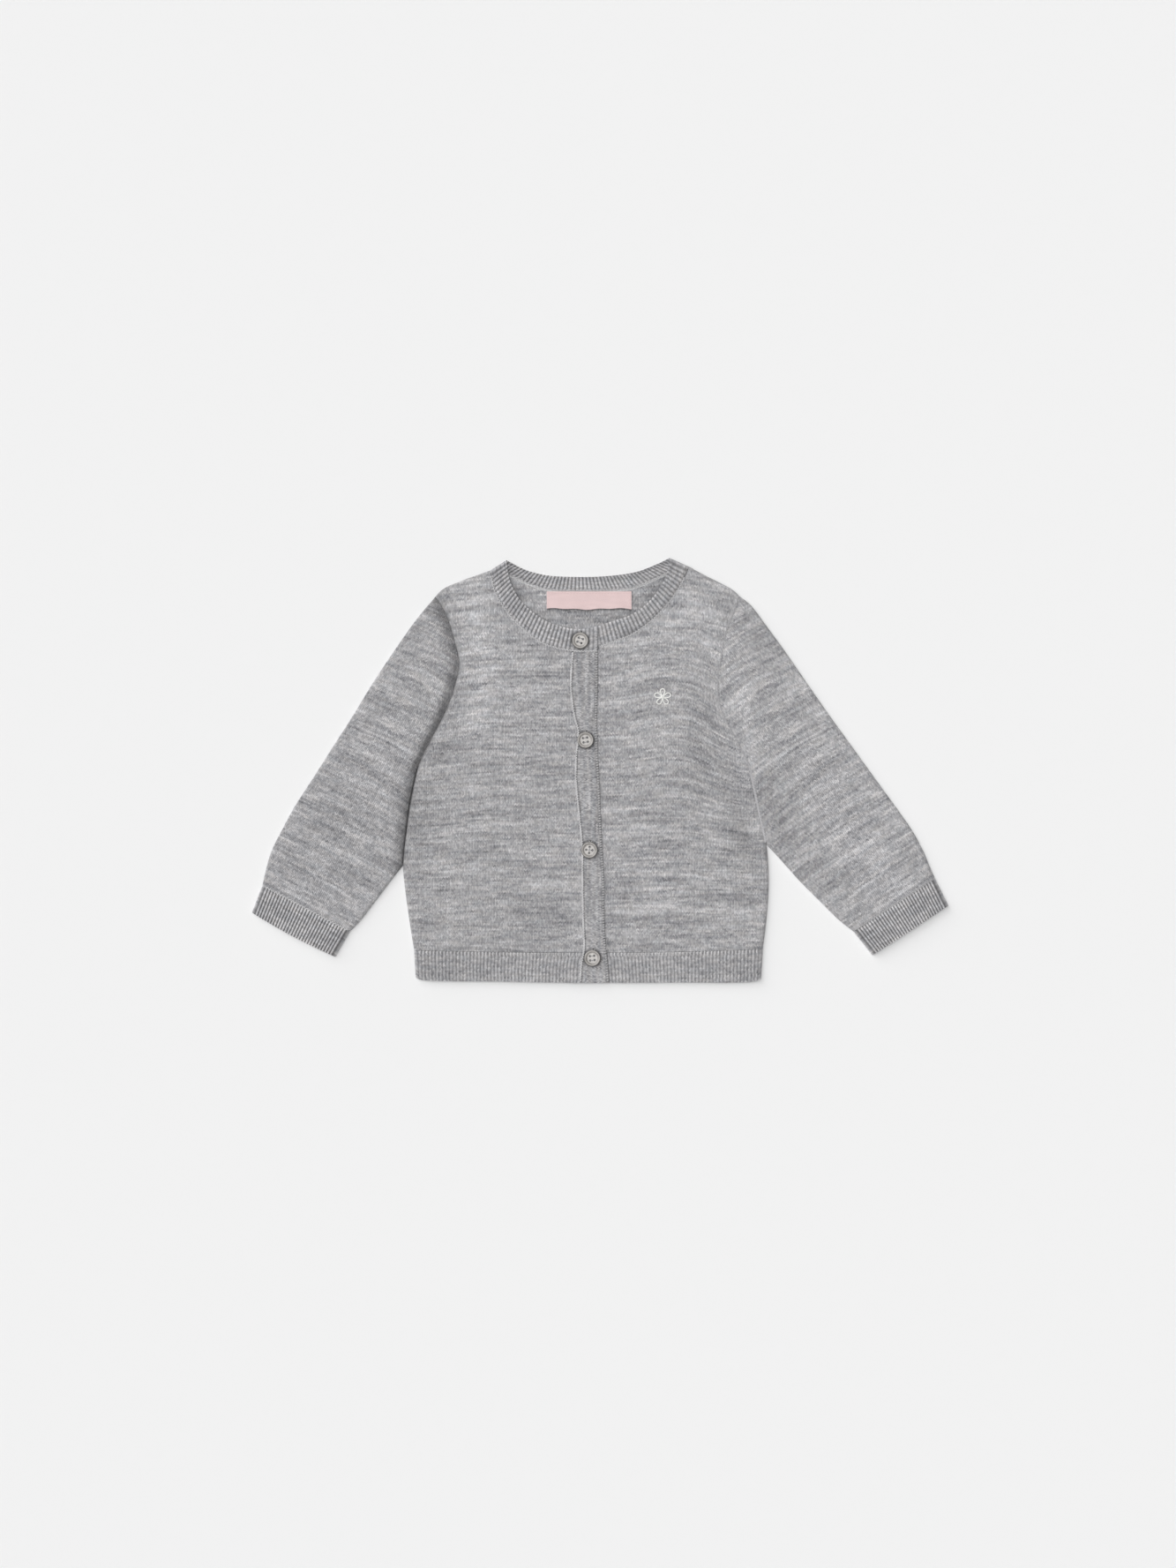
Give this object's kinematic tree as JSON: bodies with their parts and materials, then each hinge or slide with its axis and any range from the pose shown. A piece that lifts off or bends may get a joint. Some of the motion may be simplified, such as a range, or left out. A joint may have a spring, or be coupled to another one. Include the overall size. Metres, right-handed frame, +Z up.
{
  "type": "baby cardigan",
  "caption": "Fine-knit long-sleeved baby cardigan, round neck, ribbed neckband, cuffs and hem, buttoned up and laid flat.",
  "frame": {"origin": "on the surface the cardigan lies on, under the middle of its outline", "axes": "+X towards the wearer's left, +Y towards the neck, +Z up out of the front, away from the surface"},
  "size_m": [0.4813, 0.2935, 0.0067],
  "materials": {
    "knit": "fine heather-grey stockinette knit, matt",
    "rib": "heather-grey ribbed knit, matt",
    "band": "heather-grey knit band, close and matt",
    "button": "grey-beige shell-like plastic, satin",
    "label": "pale pink woven satin, plain"
  },
  "bodies": {
    "root": {"back": "knit", "front_right": "knit", "front_left": "knit", "sleeve_right": "knit", "sleeve_left": "knit", "hem_back": "rib", "hem_front_right": "rib", "hem_front_left": "rib", "cuff_right": "rib", "cuff_left": "rib", "neckband": "rib", "buttonhole_band": "band", "button_band": "band", "button_1": "button", "button_2": "button", "button_3": "button", "button_4": "button", "label": "label"}
  },
  "joints": []
}
